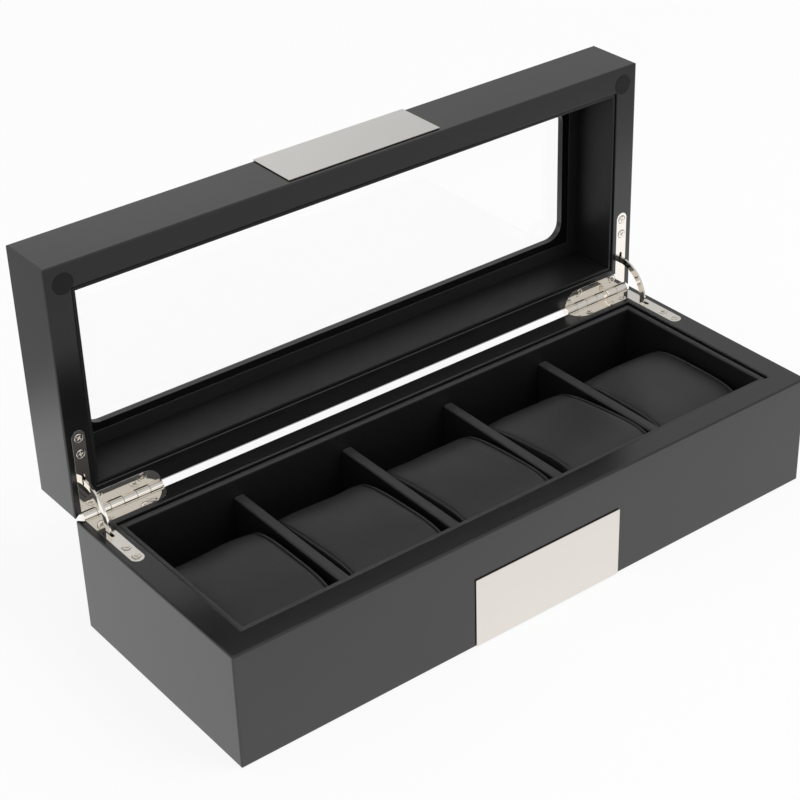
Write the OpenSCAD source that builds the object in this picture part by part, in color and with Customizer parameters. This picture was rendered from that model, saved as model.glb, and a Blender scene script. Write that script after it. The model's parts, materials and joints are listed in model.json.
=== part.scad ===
// Five-pillow watch box with a glazed lid on quadrant hinges.
// X runs along the box, -Y is the front, +Z is up, and the origin is the middle of the base.

/* [Box] */
// Outside width of the box
body_w = 310; // [290:1:360]
// Outside depth of the box
body_d = 115.5; // [112:0.5:140]
// Height of the body from the table to its rim
body_h = 55; // [52:0.5:70]
// Thickness of the body walls and of the lid rails
wall_t = 11.8; // [11.4:0.1:13]
// Rounding of the outer edges
edge_r = 0.8; // [0.4:0.1:1.4]
// Rounding of the inner edge of both rims
rim_r = 0.6; // [0.3:0.1:0.8]

/* [Base] */
// Thickness of the base board
base_t = 4; // [3:0.5:6]
// Width of the rebate that the base board sits in
rebate_w = 5; // [3:0.5:6]
// Thickness of the felt under the base
felt_t = 1.2; // [0.8:0.1:2]
// How far the walls stay off the table
wall_lift = 0.4; // [0.2:0.1:0.8]

/* [Lining] */
// Thickness of the covered boards that line the body
liner_t = 3; // [2:0.1:4]
// How far the top of the body lining lies under the rim
liner_drop = 1.1; // [0.5:0.1:3]
// Thickness of the pad on the floor
floor_pad_t = 2; // [1:0.1:3]
// Thickness of a divider
divider_t = 5.2; // [4:0.1:6]
// Depth of the divider tops under the rim
divider_drop = 10; // [4:0.5:20]
// Number of compartments
bays = 5; // [5]

/* [Pillows] */
// Free space on each side of a pillow
pillow_gap = 1.8; // [0.6:0.1:2.5]
// Depth of a pillow from front to back
pillow_d = 69; // [60:0.5:76]
// Height of the crown of a pillow
pillow_h = 38.5; // [34:0.5:42]
// How far the seam lies inside the crown
pillow_crown = 1; // [0.6:0.1:4]
// Squareness of a pillow's end, from an ellipse at 2
pillow_power = 3.2; // [2:0.1:4]

/* [Lid] */
// Opening angle of the lid
open_angle = 90; // [0:1:90]
// Height of the lid from its rim to its top
lid_h = 28.9; // [28:0.1:36]
// Gap between the rims when the lid is shut
rim_gap = 0.4; // [0.4:0.1:0.8]
// Thickness of the framed top panel
panel_t = 3.2; // [3:0.1:5]
// Width of the panel's side borders
border_x = 22.3; // [20:0.1:26]
// Width of the panel's front and back borders
border_y = 23.55; // [20:0.05:26]
// Corner radius of the window
window_r = 8; // [4:0.5:12]
// Thickness of the glass and of the frame round it
glass_t = 2; // [1.5:0.1:3]
// Width of the glass that lies on the panel
glass_lap = 2.85; // [2:0.05:5]
// Thickness of the boards that line the lid
lid_liner_t = 1.5; // [1:0.1:3]
// How far the lid lining lies inside the rim
lid_liner_drop = 0.7; // [0.4:0.1:3]
// Diameter of the felt bumpers in the lid's front corners
bumper_d = 9.2; // [6:0.1:9.4]

/* [Plates] */
// Width of both front plates
plate_w = 79.4; // [40:0.1:120]
// Height of the plate on the body
body_plate_h = 33.8; // [20:0.1:45]
// Height of the plate on the lid
lid_plate_h = 26.4; // [15:0.1:26.4]
// Thickness of the plates
plate_t = 0.4; // [0.3:0.1:1.2]
// Thickness of the adhesive pad behind a plate
pad_t = 0.3; // [0.2:0.1:0.6]
// How far a pad lies inside the outline of its plate
pad_in = 0.3; // [0.2:0.1:2]
// Sideways place of both plates
plate_x = 1.6; // [-5:0.1:5]

/* [Quadrant hinges] */
// Length of the side arm of a hinge leaf
arm_l = 41; // [38:0.5:46]
// Length of the barrel and of the back arm
barrel_l = 38.4; // [36:0.1:44]
// Width of the side arm of a leaf
arm_w = 6.2; // [5.8:0.1:6.6]
// Thickness of a leaf
leaf_t = 1.2; // [1:0.1:1.6]
// Distance from the side of the box to a leaf
leaf_inset = 3.1; // [2.6:0.1:3.4]
// Diameter of the barrel
barrel_d = 4.4; // [4:0.1:4.8]
// Number of knuckles in a barrel
knuckles = 6; // [4:2:8]
// Diameter of the hinge pin
pin_d = 2.4; // [2:0.1:2.6]
// Mean radius of the curved stay
stay_r = 16.1; // [15:0.1:18]
// Width of the stay
stay_w = 3.2; // [2.4:0.1:3.6]
// Thickness of the stay
stay_t = 1; // [0.8:0.1:1.3]
// Distance from the hinge axis to the far end of a slot
slot_reach = 20.1; // [19:0.1:21]
// Diameter of a screw head
screw_d = 3.8; // [3.4:0.1:4]
// Length of a screw
screw_l = 9; // [6:0.5:12]

/* [Hidden] */
$fn = 64;

// Walls and hinge axis
half_w = body_w / 2;
half_d = body_d / 2;
inner_w = body_w - 2 * wall_t;
inner_d = body_d - 2 * wall_t;
body_chamfer = 2.5;
lid_chamfer = 2;
axis_y = half_d;
axis_z = body_h + rim_gap / 2;
lid_z = body_h + rim_gap;
lid_top = lid_z + lid_h;
panel_z = lid_top - panel_t;
glass_z = panel_z - glass_t;

// Base and lining
rebate_z = felt_t + base_t;
fit = 0.2;
floor_z = rebate_z + floor_pad_t;
liner_top = body_h - liner_drop;
liner_in_w = inner_w - 2 * fit - 2 * liner_t;
liner_in_d = inner_d - 2 * fit - 2 * liner_t;
liner_round = 1.3;
divider_top = body_h - divider_drop;
divider_round = 1.3;
bay_w = (liner_in_w - (bays - 1) * divider_t) / bays;
bay_pitch = bay_w + divider_t;

// Pillows stand on the floor pad with a little air round them
pillow_w = bay_w - 2 * pillow_gap;
pillow_lift = 0.3;
pillow_y = -liner_in_d / 2 + 0.6 + pillow_d / 2;
pillow_end = 7.5;
pillow_sides = 44;

// Window, glass and lid lining
window_w = body_w - 2 * border_x;
window_d = body_d - 2 * border_y;
frame_w = window_w + 2 * glass_lap;
frame_d = window_d + 2 * glass_lap;
lid_liner_in_w = inner_w - 2 * fit - 2 * lid_liner_t;
bumper_in = 8.3;
bumper_deep = 2;
bumper_proud = 0.1;

// Plates
body_plate_z = 0.9;
lid_plate_z = lid_top - lid_plate_h - 0.1;

// Hinges, given for the left one
leaf_x = -half_w + leaf_inset;
back_arm_w = 9.2;
arm_mid = leaf_x + arm_w / 2;
arm_end_y = axis_y - arm_l + arm_w / 2;
knuckle_l = barrel_l / knuckles;
knuckle_air = 0.15;
swing_air = 0.25;
mortise_air = 0.15;
pin_air = 0.04;
slot_air = 0.3;
stay_in = 12;
lug_w = 5.2;
lug_angle = 5;
pocket_air = 0.5;
pocket_span = 45 + stay_in + 3;
screw_side_y = [20.3 - half_d, 27.9 - half_d];
screw_back_x = [8.4, 29.6];
screw_back_y = -7;
shank_d = 1.7;
head_t = 1.1;
drive_w = 0.5;

function arc(cx, cy, r, from, to, steps) =
    [for (i = [0:steps]) let (a = from + (to - from) * i / steps) [cx + r * cos(a), cy + r * sin(a)]];

// Section of a body wall: outer face at x = 0, with a rebate for the base board
function body_section(corner) = concat(
    arc(edge_r, wall_lift + edge_r, edge_r, 180, 270, 4),
    [[wall_t - rebate_w, wall_lift], [wall_t - rebate_w, rebate_z], [wall_t, rebate_z]],
    arc(wall_t - rim_r, body_h - rim_r, rim_r, 0, 90, 4),
    corner > edge_r ? [[corner, body_h], [0, body_h - corner]]
                    : arc(edge_r, body_h - edge_r, edge_r, 90, 180, 4));

// Section of a lid rail, shut, with its rim at the bottom
function rail_section(corner) = concat(
    corner > edge_r ? [[0, lid_z + corner], [corner, lid_z]]
                    : arc(edge_r, lid_z + edge_r, edge_r, 180, 270, 4),
    arc(wall_t - rim_r, lid_z + rim_r, rim_r, 270, 360, 4),
    [[wall_t, panel_z], [0, panel_z]]);

module both_ends() {
    children();
    mirror([1, 0, 0]) children();
}

// A section run along X with its outer face at y = -off and both ends mitred
module mitred(section, len, off) {
    difference() {
        intersection() {
            translate([0, -off, 0]) rotate([90, 0, 90]) linear_extrude(len, center = true) polygon(section);
            mitre_wedge(len, off, wall_t);
        }
        both_ends() translate([-len / 2, -off, -1]) corner_ease();
    }
}

// What a board keeps between its two mitres
module mitre_wedge(len, off, t) {
    linear_extrude(lid_top * 2)
        polygon([[-len / 2, -off], [len / 2, -off], [len / 2 - t, -off + t], [-len / 2 + t, -off + t]]);
}

// What easing takes off an upright corner that points to -X and -Y
module corner_ease() {
    linear_extrude(lid_top * 2)
        polygon(concat([[-1, edge_r], [-1, -1], [edge_r, -1]], arc(edge_r, edge_r, edge_r, 270, 180, 4)));
}

module front_side(section) mitred(section, body_w, half_d);
module back_side(section) rotate([0, 0, 180]) mitred(section, body_w, half_d);
module left_side(section) rotate([0, 0, -90]) mitred(section, body_d, half_w);
module right_side(section) rotate([0, 0, 90]) mitred(section, body_d, half_w);

// Turns what is drawn shut about the hinge axis
module swing(angle) {
    translate([0, axis_y, axis_z]) rotate([-angle, 0, 0]) translate([0, -axis_y, -axis_z]) children();
}

// Body
module paint_black() color([0.1, 0.1, 0.105]) children();
module leatherette() color([0.16, 0.16, 0.165]) children();
module nickel() color([0.78, 0.77, 0.74]) children();

module wall_front() paint_black() front_side(body_section(0));
module wall_back() paint_black() difference() {
    back_side(body_section(body_chamfer));
    both_ends() body_mortise();
}
module wall_left() paint_black() difference() {
    left_side(body_section(0));
    body_mortise();
}
module wall_right() paint_black() difference() {
    right_side(body_section(0));
    mirror([1, 0, 0]) body_mortise();
}

module slab(w, d, t, z) translate([-w / 2, -d / 2, z]) cube([w, d, t]);

module base_board() color([0.2, 0.19, 0.18])
    slab(inner_w + 2 * rebate_w - fit, inner_d + 2 * rebate_w - fit, base_t, felt_t);
module base_felt() color([0.08, 0.08, 0.08])
    slab(inner_w + 2 * rebate_w - 4 * fit, inner_d + 2 * rebate_w - 4 * fit, felt_t, 0);

// A plate on the front face, and the adhesive pad behind it
module plate(z, h) translate([plate_x - plate_w / 2, -half_d - pad_t - plate_t, z])
    cube([plate_w, plate_t, h]);
module plate_pad(z, h) translate([plate_x - plate_w / 2 + pad_in, -half_d - pad_t, z + pad_in])
    cube([plate_w - 2 * pad_in, pad_t, h - 2 * pad_in]);
module body_plate() nickel() plate(body_plate_z, body_plate_h);
module body_plate_pad() paint_black() plate_pad(body_plate_z, body_plate_h);

// Lining
module floor_pad() leatherette() slab(inner_w - 2 * fit, inner_d - 2 * fit, floor_pad_t, rebate_z);

// A standing board with a rounded top, run along X and centred on it
module board(len, t, z0, z1, r) {
    rotate([90, 0, 90]) linear_extrude(len, center = true) polygon(concat(
        [[-t / 2, z0], [t / 2, z0]],
        arc(t / 2 - r, z1 - r, r, 0, 90, 5), arc(-t / 2 + r, z1 - r, r, 90, 180, 5)));
}
// A board of the lining with mitred ends, drawn for the front
module liner(len, off) {
    intersection() {
        translate([0, -off + liner_t / 2, 0]) board(len, liner_t, floor_z, liner_top, liner_round);
        mitre_wedge(len, off, liner_t);
    }
}
module long_liner() liner(inner_w - 2 * fit, inner_d / 2 - fit);
module short_liner() liner(inner_d - 2 * fit, inner_w / 2 - fit);
module liner_front() leatherette() long_liner();
module liner_back() leatherette() rotate([0, 0, 180]) long_liner();
module liner_left() leatherette() rotate([0, 0, -90]) short_liner();
module liner_right() leatherette() rotate([0, 0, 90]) short_liner();
module divider(i) leatherette() translate([(i - bays / 2) * bay_pitch, 0, 0]) rotate([0, 0, 90])
    board(liner_in_d, divider_t, floor_z, divider_top, divider_round);

// Pillow: a crowned roll with flat sewn ends, made of an oval section run along X
function oval(a, b) = [for (i = [0:pillow_sides - 1]) let (t = 360 * i / pillow_sides)
    [a * sign(cos(t)) * pow(abs(cos(t)), 2 / pillow_power),
     b * sign(sin(t)) * pow(abs(sin(t)), 2 / pillow_power)]];
module oval_roll(w, inset) {
    rotate([90, 0, 90]) linear_extrude(w, center = true)
        polygon(oval(pillow_d / 2 - inset / 2, pillow_h / 2 - inset));
}
module pillow(i) color([0.2, 0.2, 0.205])
    translate([(i - (bays + 1) / 2) * bay_pitch, pillow_y, floor_z + pillow_lift + pillow_h / 2]) hull() {
        oval_roll(pillow_w - 2 * pillow_end, 0);
        oval_roll(pillow_w - pillow_end, pillow_crown * 0.3);
        oval_roll(pillow_w, pillow_crown);
    }

// Lid
module lid_rail_front() paint_black() swing(open_angle) difference() {
    front_side(rail_section(0));
    bumper_holes();
}
module lid_rail_back() paint_black() swing(open_angle) difference() {
    back_side(rail_section(lid_chamfer));
    both_ends() lid_mortise();
}
module lid_rail_left() paint_black() swing(open_angle) difference() {
    left_side(rail_section(0));
    lid_mortise();
    bumper_holes();
}
module lid_rail_right() paint_black() swing(open_angle) difference() {
    right_side(rail_section(0));
    mirror([1, 0, 0]) lid_mortise();
    bumper_holes();
}

// Top edges eased by crossing two rounded sections
module eased_slab() {
    section_y = concat([[-half_d, panel_z], [half_d, panel_z]],
        arc(half_d - edge_r, lid_top - edge_r, edge_r, 0, 90, 4),
        arc(-half_d + edge_r, lid_top - edge_r, edge_r, 90, 180, 4));
    section_x = concat([[-half_w, panel_z], [half_w, panel_z]],
        arc(half_w - edge_r, lid_top - edge_r, edge_r, 0, 90, 4),
        arc(-half_w + edge_r, lid_top - edge_r, edge_r, 90, 180, 4));
    difference() {
        intersection() {
            rotate([90, 0, 90]) linear_extrude(body_w, center = true) polygon(section_y);
            rotate([90, 0, 0]) linear_extrude(body_d, center = true) polygon(section_x);
        }
        for (a = [0, 180]) rotate([0, 0, a]) both_ends() translate([-half_w, -half_d, -1]) corner_ease();
    }
}
module window_outline() {
    square([window_w - 2 * window_r, window_d], center = true);
    square([window_w, window_d - 2 * window_r], center = true);
    for (sx = [-1, 1], sy = [-1, 1])
        translate([sx * (window_w / 2 - window_r), sy * (window_d / 2 - window_r)]) circle(window_r);
}
module lid_panel() paint_black() swing(open_angle) difference() {
    eased_slab();
    translate([0, 0, panel_z - 1]) linear_extrude(panel_t + 2) window_outline();
}
module glass_pane() color([0.85, 0.92, 0.92, 0.3]) swing(open_angle)
    slab(frame_w - 2 * fit, frame_d - 2 * fit, glass_t, glass_z);
module glass_frame() leatherette() swing(open_angle) difference() {
    slab(inner_w - 2 * fit, inner_d - 2 * fit, glass_t, glass_z);
    slab(frame_w, frame_d, glass_t + 2, glass_z - 1);
}
module lid_long_liner(s) swing(open_angle)
    translate([0, s * (inner_d / 2 - fit - lid_liner_t / 2), 0])
        slab(inner_w - 2 * fit, lid_liner_t, glass_z - lid_z - lid_liner_drop, lid_z + lid_liner_drop);
module lid_short_liner(s) swing(open_angle)
    translate([s * (lid_liner_in_w + lid_liner_t) / 2, 0, 0])
        slab(lid_liner_t, inner_d - 2 * fit - 2 * lid_liner_t, glass_z - lid_z - lid_liner_drop,
             lid_z + lid_liner_drop);
module lid_liner_front() leatherette() lid_long_liner(-1);
module lid_liner_back() leatherette() lid_long_liner(1);
module lid_liner_left() leatherette() lid_short_liner(-1);
module lid_liner_right() leatherette() lid_short_liner(1);
module lid_plate() nickel() swing(open_angle) plate(lid_plate_z, lid_plate_h);
module lid_plate_pad() paint_black() swing(open_angle) plate_pad(lid_plate_z, lid_plate_h);

module bumper(r, z, t) both_ends()
    translate([-half_w + bumper_in, -half_d + bumper_in, z]) cylinder(h = t, r = r);
module bumper_holes() bumper(bumper_d / 2 + 0.05, lid_z - 1, bumper_deep + 1);
module lid_bumpers() color([0.05, 0.05, 0.05]) swing(open_angle)
    bumper(bumper_d / 2, lid_z - bumper_proud, bumper_deep + bumper_proud);

// Quadrant hinge. Outline of a leaf, larger by grow all round
module leaf_outline(grow) {
    translate([leaf_x - grow, arm_end_y]) square([arm_w + 2 * grow, axis_y - arm_end_y]);
    translate([arm_mid, arm_end_y]) circle(arm_w / 2 + grow);
    translate([leaf_x - grow, axis_y - back_arm_w - grow])
        square([barrel_l - back_arm_w * 0.8 + grow, back_arm_w + grow]);
    intersection() {
        translate([leaf_x + barrel_l - back_arm_w * 0.8, axis_y - back_arm_w * 0.2])
            circle(back_arm_w * 0.8 + grow);
        translate([leaf_x, axis_y - 2 * back_arm_w]) square([barrel_l + 1 + grow, 2 * back_arm_w]);
    }
}
module along_axis(x0, len, r) translate([x0, axis_y, axis_z]) rotate([0, 90, 0]) cylinder(h = len, r = r);
module barrel_recess()
    along_axis(leaf_x - mortise_air, barrel_l + 2 * mortise_air, barrel_d / 2 + swing_air);

// Part of a ring round the hinge axis, centred on the side arm
module quadrant(from, to, width, t) translate([arm_mid, axis_y, axis_z]) rotate([90, 0, 90])
    rotate([0, 0, from]) rotate_extrude(angle = to - from, $fn = 128)
        translate([stay_r - width / 2, -t / 2]) square([width, t]);

// Pilot holes, countersinks and screws share their places
module at_screws() {
    for (y = screw_side_y) translate([arm_mid, axis_y + y, 0]) children();
    for (x = screw_back_x) translate([leaf_x + x, axis_y + screw_back_y, 0]) children();
}
module body_mortise() {
    translate([0, 0, body_h - leaf_t]) linear_extrude(leaf_t + 1) leaf_outline(mortise_air);
    barrel_recess();
    quadrant(175, 180 + pocket_span, lug_w + 2 * pocket_air, stay_t + 2 * pocket_air);
    at_screws() translate([0, 0, body_h - screw_l - 0.2]) cylinder(h = screw_l, d = shank_d + 0.1);
}
module lid_mortise() {
    translate([0, 0, lid_z - 1]) linear_extrude(leaf_t + 1) leaf_outline(mortise_air);
    barrel_recess();
    quadrant(180 - pocket_span, 185, lug_w + 2 * pocket_air, stay_t + 2 * pocket_air);
    at_screws() translate([0, 0, lid_z]) cylinder(h = screw_l + 0.2, d = shank_d + 0.1);
}
// Slot with round ends that the stay slides in
module slot_cut(z) {
    w = stay_t + 2 * slot_air;
    near = stay_r - stay_w / 2 - slot_air + w / 2;
    far = slot_reach - w / 2;
    translate([arm_mid, axis_y, z]) {
        translate([-w / 2, -far, 0]) cube([w, far - near, leaf_t + 2]);
        for (y = [near, far]) translate([0, -y, 0]) cylinder(h = leaf_t + 2, d = w);
    }
}

// A leaf drawn for the body: plate under the rim, with every second knuckle
module leaf(first) {
    difference() {
        union() {
            translate([0, 0, body_h - leaf_t]) linear_extrude(leaf_t) leaf_outline(0);
            for (k = [first:2:knuckles - 1])
                along_axis(leaf_x + k * knuckle_l + knuckle_air / 2, knuckle_l - knuckle_air, barrel_d / 2);
        }
        for (k = [1 - first:2:knuckles - 1])
            along_axis(leaf_x + k * knuckle_l - knuckle_air / 2, knuckle_l + knuckle_air,
                       barrel_d / 2 + swing_air);
        along_axis(leaf_x - 1, barrel_l + 2, pin_d / 2 + pin_air);
        slot_cut(body_h - leaf_t - 1);
        at_screws() translate([0, 0, body_h - leaf_t - 0.05])
            cylinder(h = leaf_t + 0.1, d1 = shank_d + 0.1, d2 = screw_d + 0.2);
    }
}
// The lid's leaf is the mirror image of the body's, across the plane between the rims
module lid_side() translate([0, 0, 2 * axis_z]) mirror([0, 0, 1]) children();
module base_leaf_left() nickel() leaf(0);
module base_leaf_right() nickel() mirror([1, 0, 0]) leaf(0);
module lid_leaf_left() nickel() swing(open_angle) lid_side() leaf(1);
module lid_leaf_right() nickel() swing(open_angle) lid_side() mirror([1, 0, 0]) leaf(1);
module hinge_pin() along_axis(leaf_x + knuckle_air, barrel_l - 2 * knuckle_air, pin_d / 2);
module hinge_pin_left() nickel() hinge_pin();
module hinge_pin_right() nickel() mirror([1, 0, 0]) hinge_pin();

// The stay turns by half the lid's angle, and its lugs stop under both leaves
module stay() swing(open_angle / 2) {
    quadrant(180 - 45 - stay_in, 180 + 45 + stay_in, stay_w, stay_t);
    quadrant(180 - 45 - stay_in, 180 - 45 - stay_in + lug_angle, lug_w, stay_t);
    quadrant(180 + 45 + stay_in - lug_angle, 180 + 45 + stay_in, lug_w, stay_t);
}
module stay_left() nickel() stay();
module stay_right() nickel() mirror([1, 0, 0]) stay();

module screw() {
    translate([0, 0, body_h - head_t]) cylinder(h = head_t, d1 = shank_d, d2 = screw_d);
    translate([0, 0, body_h - screw_l]) cylinder(h = screw_l - head_t, d = shank_d);
}
module screws() both_ends() at_screws() difference() {
    screw();
    for (a = [0, 90]) translate([0, 0, body_h]) rotate([0, 0, a])
        cube([screw_d * 0.6, drive_w, head_t], center = true);
}
module base_hinge_screws() nickel() screws();
module lid_hinge_screws() nickel() swing(open_angle) lid_side() screws();

wall_front();
wall_back();
wall_left();
wall_right();
base_board();
base_felt();
body_plate();
body_plate_pad();
floor_pad();
liner_front();
liner_back();
liner_left();
liner_right();
divider(1);  // divider_1
divider(2);  // divider_2
divider(3);  // divider_3
divider(4);  // divider_4
pillow(1);  // pillow_1
pillow(2);  // pillow_2
pillow(3);  // pillow_3
pillow(4);  // pillow_4
pillow(5);  // pillow_5
lid_rail_front();
lid_rail_back();
lid_rail_left();
lid_rail_right();
lid_panel();
glass_pane();
glass_frame();
lid_liner_front();
lid_liner_back();
lid_liner_left();
lid_liner_right();
lid_plate();
lid_plate_pad();
lid_bumpers();
base_leaf_left();
base_leaf_right();
lid_leaf_left();
lid_leaf_right();
hinge_pin_left();
hinge_pin_right();
stay_left();
stay_right();
base_hinge_screws();
lid_hinge_screws();
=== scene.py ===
import json
import math

import bmesh
import bpy
from mathutils import Matrix, Vector, noise


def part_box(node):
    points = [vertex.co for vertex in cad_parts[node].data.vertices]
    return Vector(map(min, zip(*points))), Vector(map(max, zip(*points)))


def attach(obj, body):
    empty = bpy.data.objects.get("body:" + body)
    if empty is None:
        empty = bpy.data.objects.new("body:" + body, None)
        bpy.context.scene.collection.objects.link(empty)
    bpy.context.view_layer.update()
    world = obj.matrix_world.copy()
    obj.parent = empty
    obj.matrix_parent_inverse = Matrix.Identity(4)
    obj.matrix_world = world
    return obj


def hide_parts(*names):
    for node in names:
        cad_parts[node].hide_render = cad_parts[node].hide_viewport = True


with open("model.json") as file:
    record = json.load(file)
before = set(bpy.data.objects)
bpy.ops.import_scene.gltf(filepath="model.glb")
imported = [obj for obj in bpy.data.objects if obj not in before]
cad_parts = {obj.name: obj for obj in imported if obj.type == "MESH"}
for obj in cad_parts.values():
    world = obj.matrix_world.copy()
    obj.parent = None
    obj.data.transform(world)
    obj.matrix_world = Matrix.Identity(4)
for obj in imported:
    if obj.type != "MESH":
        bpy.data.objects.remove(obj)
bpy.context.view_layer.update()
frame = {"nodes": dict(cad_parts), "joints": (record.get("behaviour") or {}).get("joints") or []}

nodes = frame["nodes"]
mm = 0.001
near = 0.01 * mm
print("frame loaded:", len(nodes), "nodes")


# Picking and shaping

def pickOnly(*pieces):
    bpy.ops.object.select_all(action="DESELECT")
    for piece in pieces:
        piece.select_set(True)
    bpy.context.view_layer.objects.active = pieces[0]


def settle(piece):
    # the finished object stands at the origin, with its place in its mesh
    pickOnly(piece)
    bpy.ops.object.transform_apply(location=True, rotation=True, scale=True)


def applyModifier(piece, kind, **settings):
    pickOnly(piece)
    modifier = piece.modifiers.new(kind.title(), kind)
    for key, value in settings.items():
        setattr(modifier, key, value)
    bpy.ops.object.modifier_apply(modifier=modifier.name)


def selectFaces(test):
    # picks faces of the piece in edit mode by their middle and normal
    mesh = bpy.context.object.data
    bpy.ops.mesh.select_mode(type="FACE")
    bpy.ops.mesh.select_all(action="DESELECT")
    sheet = bmesh.from_edit_mesh(mesh)
    for face in sheet.faces:
        face.select_set(bool(test(face.calc_center_median(), face.normal)))
    bmesh.update_edit_mesh(mesh)


def selectEdges(test):
    # picks edges of the piece in edit mode by their two ends
    mesh = bpy.context.object.data
    bpy.ops.mesh.select_mode(type="EDGE")
    bpy.ops.mesh.select_all(action="DESELECT")
    sheet = bmesh.from_edit_mesh(mesh)
    for edge in sheet.edges:
        edge.select_set(bool(test(edge.verts[0].co, edge.verts[1].co)))
    bmesh.update_edit_mesh(mesh)


def addBlock(name, low, high):
    low, high = Vector(low), Vector(high)
    bpy.ops.object.select_all(action="DESELECT")
    bpy.ops.mesh.primitive_cube_add(size=1, location=(low + high) / 2, scale=high - low)
    block = bpy.context.object
    block.name = name
    settle(block)
    return block


def cutWith(piece, cutter, operation="DIFFERENCE"):
    applyModifier(piece, "BOOLEAN", operation=operation, object=cutter, solver="EXACT")
    bpy.data.objects.remove(cutter)


def turnOutward(piece):
    pickOnly(piece)
    bpy.ops.object.mode_set(mode="EDIT")
    bpy.ops.mesh.select_all(action="SELECT")
    bpy.ops.mesh.normals_make_consistent(inside=False)
    bpy.ops.object.mode_set(mode="OBJECT")


def smooth(piece, degrees=35):
    # the narrow edges are rounded over and the broad faces stay flat
    pickOnly(piece)
    bpy.ops.object.shade_smooth_by_angle(angle=math.radians(degrees))
    applyModifier(piece, "WEIGHTED_NORMAL", keep_sharp=True)


def copyOf(piece, name):
    twin = piece.copy()
    twin.data = piece.data.copy()
    twin.name = name
    bpy.context.scene.collection.objects.link(twin)
    return twin


def put(piece, body, slot, finish, *replaced):
    # gives a finished piece its body, its finish and the CAD nodes that it stands for
    piece.data.materials.clear()
    piece.data.materials.append(finish)
    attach(piece, body)
    if replaced:
        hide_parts(*replaced)


# Shader maths written as sums

class Wire:
    def __init__(self, finish, socket):
        self.finish = finish
        self.socket = socket

    def math(self, operation, a, b):
        return self.finish.node("ShaderNodeMath", {"operation": operation}, {0: a, 1: b})

    def __add__(self, other):
        return self.math("ADD", self, other)

    def __radd__(self, other):
        return self.math("ADD", other, self)

    def __sub__(self, other):
        return self.math("SUBTRACT", self, other)

    def __rsub__(self, other):
        return self.math("SUBTRACT", other, self)

    def __mul__(self, other):
        return self.math("MULTIPLY", self, other)

    def __rmul__(self, other):
        return self.math("MULTIPLY", other, self)

    def __truediv__(self, other):
        return self.math("DIVIDE", self, other)

    def __gt__(self, other):
        return self.math("GREATER_THAN", self, other)

    def __lt__(self, other):
        return self.math("LESS_THAN", self, other)


class Finish:
    def __init__(self, name, world=None):
        # a world has the same kind of tree as a material
        self.material = world or bpy.data.materials.new(name)
        self.material.use_nodes = True
        self.tree = self.material.node_tree
        self.tree.nodes.clear()
        self.out = self.tree.nodes.new("ShaderNodeOutputWorld" if world else "ShaderNodeOutputMaterial")
        self.where = self.node("ShaderNodeTexCoord", output="Object")

    def node(self, kind, settings=None, values=None, output=0):
        made = self.tree.nodes.new(kind)
        for key, value in (settings or {}).items():
            setattr(made, key, value)
        for key, value in (values or {}).items():
            self.plug(made.inputs[key], value)
        return Wire(self, made.outputs[output])

    def plug(self, socket, value):
        if isinstance(value, Wire):
            self.tree.links.new(value.socket, socket)
        else:
            socket.default_value = value

    def noise(self, scale, detail=3, roughness=0.5, stretch=None):
        where = self.where
        if stretch:
            where = self.node("ShaderNodeMapping", values={"Vector": where, "Scale": stretch})
        return self.node("ShaderNodeTexNoise", values={
            "Vector": where, "Scale": scale, "Detail": detail, "Roughness": roughness})

    def part(self, axis):
        return self.node("ShaderNodeSeparateXYZ", values={"Vector": self.where}, output=axis)

    def held(self, value):
        # keeps a value within 0..1
        return self.node("ShaderNodeClamp", values={"Value": value})

    def between(self, value, low, high):
        # carries a value from 0..1 onto low..high
        return value * (high - low) + low

    def blend(self, factor, a, b):
        made = self.tree.nodes.new("ShaderNodeMix")
        made.data_type = "RGBA"
        self.plug(made.inputs[0], factor)
        self.plug(made.inputs[6], a)
        self.plug(made.inputs[7], b)
        return Wire(self, made.outputs[2])

    def mixed(self, factor, first, second):
        return self.node("ShaderNodeMixShader", values={0: factor, 1: first, 2: second})

    def ray(self, kind):
        return self.node("ShaderNodeLightPath", output=kind)

    def bump(self, height, distance, strength=1.0, over=None):
        values = {"Height": height, "Distance": distance, "Strength": strength}
        if over:
            values["Normal"] = over
        return self.node("ShaderNodeBump", values=values)

    def surface(self, shader):
        self.plug(self.out.inputs["Surface"], shader)
        return self.material

    def principled(self, **values):
        return self.node("ShaderNodeBsdfPrincipled", values={
            key.replace("_", " "): value for key, value in values.items()}, output="BSDF")


def grey(value):
    return (value, value, value, 1)


# Finishes

lacquer = {
    "low": (0.0055, 0.0055, 0.0058, 1),
    "high": (0.0085, 0.0084, 0.0088, 1),
    "roughness": (0.17, 0.25),
    "ior": 1.64,
    "grainScale": 260,          # streaks to the metre across the grain
    "grainStretch": 0.045,      # how much slower they change along it
    "grainDepth": 0.02 * mm,
    "pores": 4,                 # how much finer the pores are than the streaks
    "poreShare": 0.35,
    "cloudScale": 14,
    "cloudStretch": 0.4,
    "peelScale": 900,           # faint orange peel of the sprayed coat
    "peelDepth": 0.006 * mm,
    "dustScale": 55,
    "dustSize": 0.0105,
    "dustTone": 0.09,
}


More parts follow.
